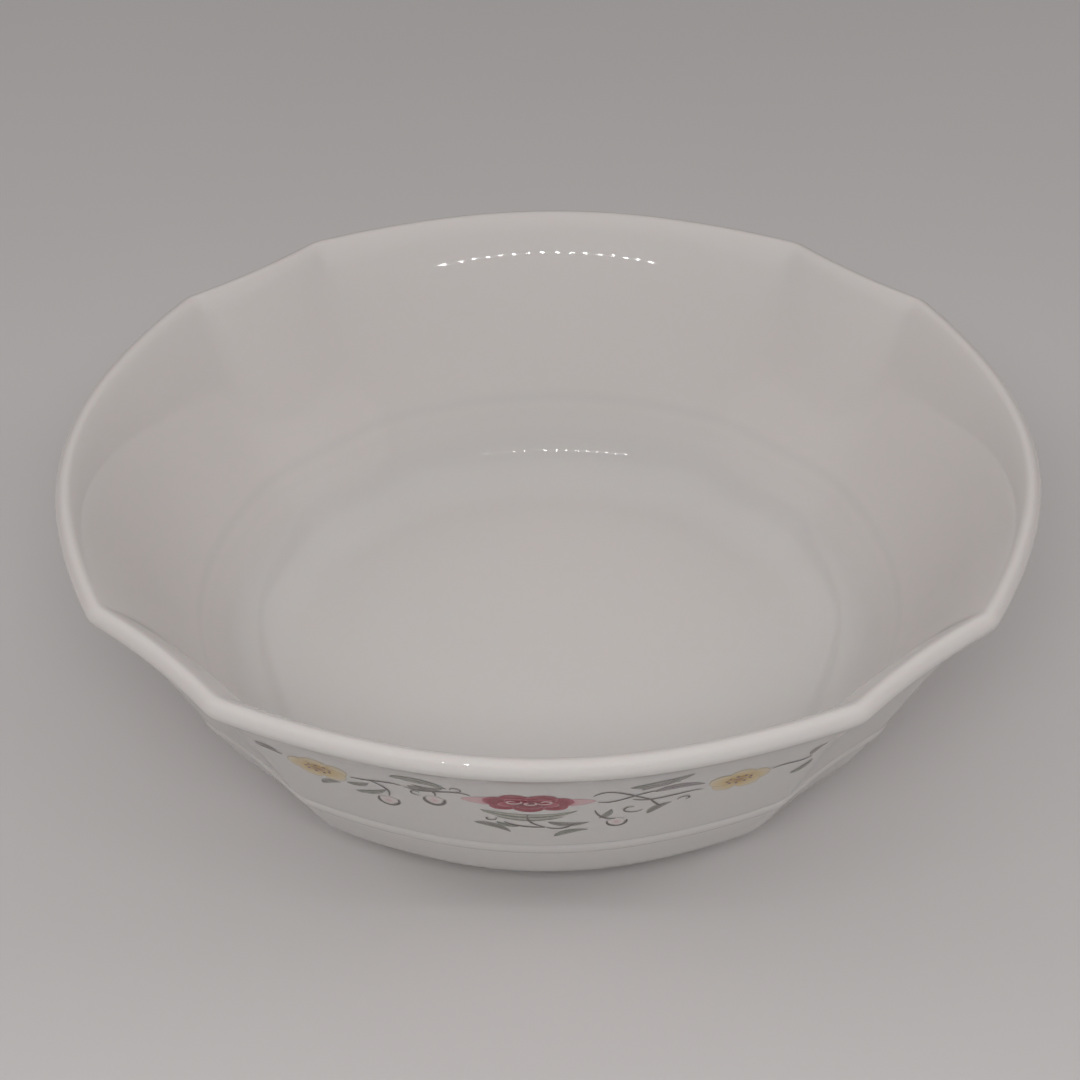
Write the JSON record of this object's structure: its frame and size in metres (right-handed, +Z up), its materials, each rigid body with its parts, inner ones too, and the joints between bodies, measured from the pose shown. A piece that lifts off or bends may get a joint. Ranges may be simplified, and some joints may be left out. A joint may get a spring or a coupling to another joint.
{
  "type": "porcelain serving bowl",
  "caption": "Round porcelain serving bowl with a four-lobed flared rim, a low foot ring, white glaze and printed rose sprays on the outside.",
  "frame": {"origin": "on the table under the middle of the bowl, in the plane that the foot ring stands on", "axes": "+Z up, out of the bowl's mouth; the middles of the four lobes are on +X, +Y, -X and -Y, and -Y is the front"},
  "size_m": [0.2288, 0.2288, 0.0719],
  "materials": {
    "porcelain": "fired white porcelain, bare and slightly matt where it stands",
    "glaze": "smooth glossy clear glaze over white clay",
    "rose_enamel": "glossy overglaze print, crimson and pink",
    "blossom_enamel": "glossy overglaze print, pale yellow and ochre",
    "leaf_enamel": "glossy overglaze print, grey green",
    "stem_enamel": "glossy overglaze print, dark grey line"
  },
  "bodies": {
    "root": {"porcelain_body": "porcelain", "main_glaze_coat": "glaze", "foot_glaze_coat": "glaze", "front_rose_print": "rose_enamel", "right_rose_print": "rose_enamel", "back_rose_print": "rose_enamel", "left_rose_print": "rose_enamel", "front_blossom_print": "blossom_enamel", "right_blossom_print": "blossom_enamel", "back_blossom_print": "blossom_enamel", "left_blossom_print": "blossom_enamel", "front_leaf_print": "leaf_enamel", "right_leaf_print": "leaf_enamel", "back_leaf_print": "leaf_enamel", "left_leaf_print": "leaf_enamel", "front_stem_print": "stem_enamel", "right_stem_print": "stem_enamel", "back_stem_print": "stem_enamel", "left_stem_print": "stem_enamel"}
  },
  "joints": []
}
